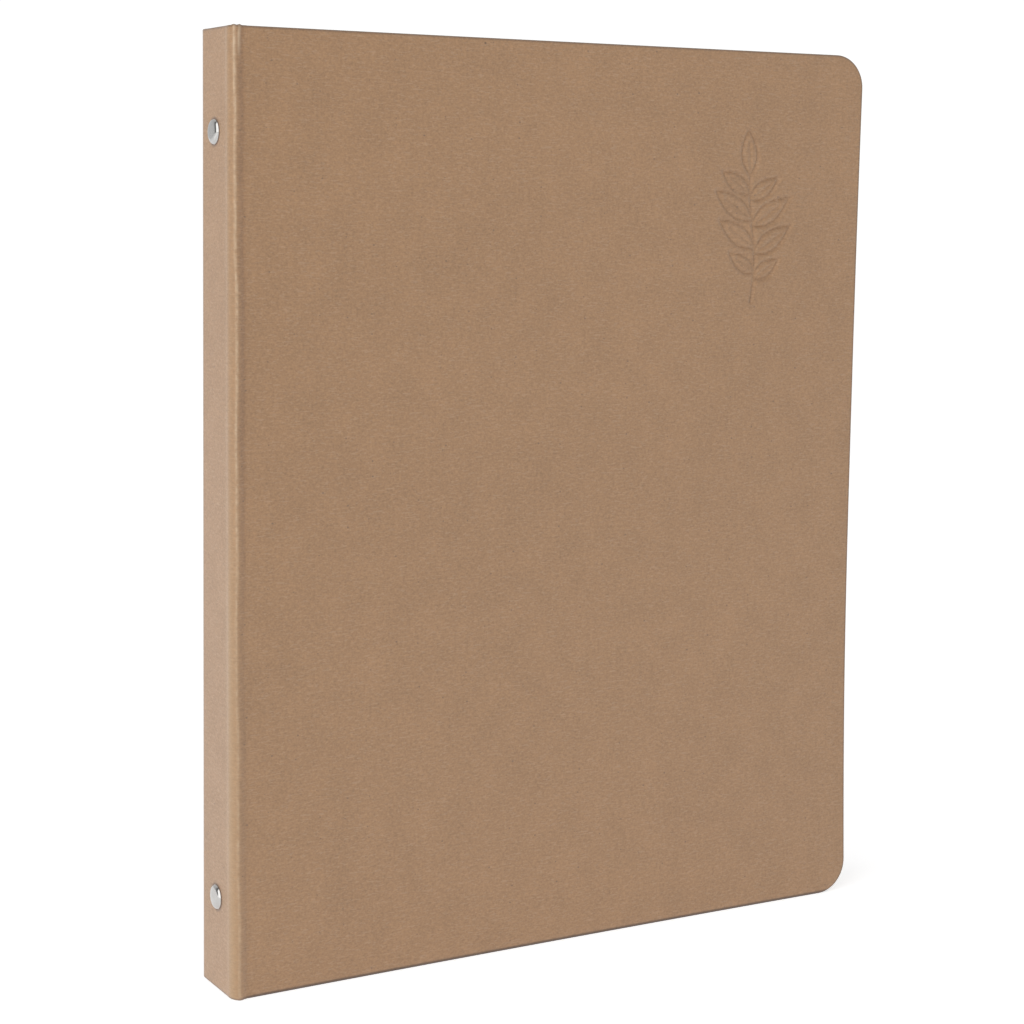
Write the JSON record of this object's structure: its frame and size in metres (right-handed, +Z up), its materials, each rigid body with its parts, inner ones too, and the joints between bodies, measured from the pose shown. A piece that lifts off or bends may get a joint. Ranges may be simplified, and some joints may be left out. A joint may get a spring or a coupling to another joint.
{
  "type": "ring-bound scrapbook album",
  "caption": "Kraft-board scrapbook album with a folded cover, a riveted ring mechanism with end levers, and turning leaves on snap rings.",
  "frame": {"origin": "under the middle of the closed album, in the plane that its bottom edge stands on", "axes": "+Z up along the spine, -X out of the spine, -Y out of the front cover, +Y out of the back cover"},
  "size_m": [0.2512, 0.028, 0.315],
  "materials": {
    "kraft_board": "matte",
    "kraft_leaf": "matte",
    "nickel_wire": "gloss",
    "nickel_rivet": "gloss",
    "plated_steel": "satin"
  },
  "bodies": {
    "spine": {"spine_board": "kraft_board", "front_crease": "kraft_board", "back_crease": "kraft_board", "ring_shield": "plated_steel", "upper_rivet": "nickel_rivet", "lower_rivet": "nickel_rivet", "upper_post": "nickel_rivet", "lower_post": "nickel_rivet", "upper_lever_pin": "plated_steel", "lower_lever_pin": "plated_steel"},
    "front_cover": {"front_cover_board": "kraft_board"},
    "back_cover": {"back_cover_board": "kraft_board"},
    "front_rail_body": {"front_rail": "plated_steel", "front_half_ring_1": "nickel_wire", "front_half_ring_2": "nickel_wire", "front_half_ring_3": "nickel_wire", "front_half_ring_4": "nickel_wire"},
    "back_rail_body": {"back_rail": "plated_steel", "back_half_ring_1": "nickel_wire", "back_half_ring_2": "nickel_wire", "back_half_ring_3": "nickel_wire", "back_half_ring_4": "nickel_wire"},
    "upper_lever_body": {"upper_lever": "plated_steel"},
    "lower_lever_body": {"lower_lever": "plated_steel"},
    "leaf_01_body": {"leaf_01": "kraft_leaf"},
    "leaf_02_body": {"leaf_02": "kraft_leaf"},
    "leaf_03_body": {"leaf_03": "kraft_leaf"},
    "leaf_04_body": {"leaf_04": "kraft_leaf"},
    "leaf_05_body": {"leaf_05": "kraft_leaf"},
    "leaf_06_body": {"leaf_06": "kraft_leaf"},
    "leaf_07_body": {"leaf_07": "kraft_leaf"},
    "leaf_08_body": {"leaf_08": "kraft_leaf"},
    "leaf_09_body": {"leaf_09": "kraft_leaf"},
    "leaf_10_body": {"leaf_10": "kraft_leaf"}
  },
  "joints": [
    {"name": "front_cover_fold", "type": "hinge", "parent": "spine", "child": "front_cover", "pos_m": [-0.1228, -0.0124, 0.1565], "axis": [0, 0, -1], "range_deg": [0, 178], "deforming": ["front_crease"]},
    {"name": "back_cover_fold", "type": "hinge", "parent": "spine", "child": "back_cover", "pos_m": [-0.1228, 0.0124, 0.1565], "axis": [0, 0, 1], "range_deg": [0, 178], "deforming": ["back_crease"]},
    {"name": "ring_opening", "type": "hinge", "parent": "spine", "child": "front_rail_body", "pos_m": [-0.121, -0.0081, 0.1565], "axis": [0, 0, -1], "range_deg": [0, 8.4]},
    {"name": "back_rail_turn", "type": "hinge", "parent": "spine", "child": "back_rail_body", "pos_m": [-0.121, 0.0081, 0.1565], "axis": [0, 0, 1], "range_deg": [0, 8.4]},
    {"name": "upper_lever_turn", "type": "hinge", "parent": "spine", "child": "upper_lever_body", "pos_m": [-0.1211, 0, 0.2895], "axis": [0, -1, 0], "range_deg": [0, 14]},
    {"name": "lower_lever_turn", "type": "hinge", "parent": "spine", "child": "lower_lever_body", "pos_m": [-0.1211, 0, 0.0235], "axis": [0, 1, 0], "range_deg": [0, 14]},
    {"name": "leaf_01_turn", "type": "hinge", "parent": "spine", "child": "leaf_01_body", "pos_m": [-0.1123, 0, 0.1565], "axis": [0, 0, -1], "range_deg": [0, 82.08]},
    {"name": "leaf_02_turn", "type": "hinge", "parent": "spine", "child": "leaf_02_body", "pos_m": [-0.1123, 0, 0.1565], "axis": [0, 0, -1], "range_deg": [0, 66.06]},
    {"name": "leaf_03_turn", "type": "hinge", "parent": "spine", "child": "leaf_03_body", "pos_m": [-0.1123, 0, 0.1565], "axis": [0, 0, -1], "range_deg": [0, 50.04]},
    {"name": "leaf_04_turn", "type": "hinge", "parent": "spine", "child": "leaf_04_body", "pos_m": [-0.1123, 0, 0.1565], "axis": [0, 0, -1], "range_deg": [0, 34.02]},
    {"name": "leaf_05_turn", "type": "hinge", "parent": "spine", "child": "leaf_05_body", "pos_m": [-0.1123, 0, 0.1565], "axis": [0, 0, -1], "range_deg": [0, 18]},
    {"name": "leaf_06_turn", "type": "hinge", "parent": "spine", "child": "leaf_06_body", "pos_m": [-0.1123, 0, 0.1565], "axis": [0, 0, 1], "range_deg": [0, 18]},
    {"name": "leaf_07_turn", "type": "hinge", "parent": "spine", "child": "leaf_07_body", "pos_m": [-0.1123, 0, 0.1565], "axis": [0, 0, 1], "range_deg": [0, 34.02]},
    {"name": "leaf_08_turn", "type": "hinge", "parent": "spine", "child": "leaf_08_body", "pos_m": [-0.1123, 0, 0.1565], "axis": [0, 0, 1], "range_deg": [0, 50.04]},
    {"name": "leaf_09_turn", "type": "hinge", "parent": "spine", "child": "leaf_09_body", "pos_m": [-0.1123, 0, 0.1565], "axis": [0, 0, 1], "range_deg": [0, 66.06]},
    {"name": "leaf_10_turn", "type": "hinge", "parent": "spine", "child": "leaf_10_body", "pos_m": [-0.1123, 0, 0.1565], "axis": [0, 0, 1], "range_deg": [0, 82.08]}
  ],
  "couplings": [
    {"joint": "back_rail_turn", "follows": "ring_opening", "ratio": 1},
    {"joint": "upper_lever_turn", "follows": "ring_opening", "ratio": 1.66},
    {"joint": "lower_lever_turn", "follows": "ring_opening", "ratio": 1.66},
    {"joint": "leaf_01_turn", "follows": "front_cover_fold", "ratio": 0.46},
    {"joint": "leaf_02_turn", "follows": "front_cover_fold", "ratio": 0.37},
    {"joint": "leaf_03_turn", "follows": "front_cover_fold", "ratio": 0.28},
    {"joint": "leaf_04_turn", "follows": "front_cover_fold", "ratio": 0.19},
    {"joint": "leaf_05_turn", "follows": "front_cover_fold", "ratio": 0.1},
    {"joint": "leaf_06_turn", "follows": "back_cover_fold", "ratio": 0.1},
    {"joint": "leaf_07_turn", "follows": "back_cover_fold", "ratio": 0.19},
    {"joint": "leaf_08_turn", "follows": "back_cover_fold", "ratio": 0.28},
    {"joint": "leaf_09_turn", "follows": "back_cover_fold", "ratio": 0.37},
    {"joint": "leaf_10_turn", "follows": "back_cover_fold", "ratio": 0.46}
  ]
}
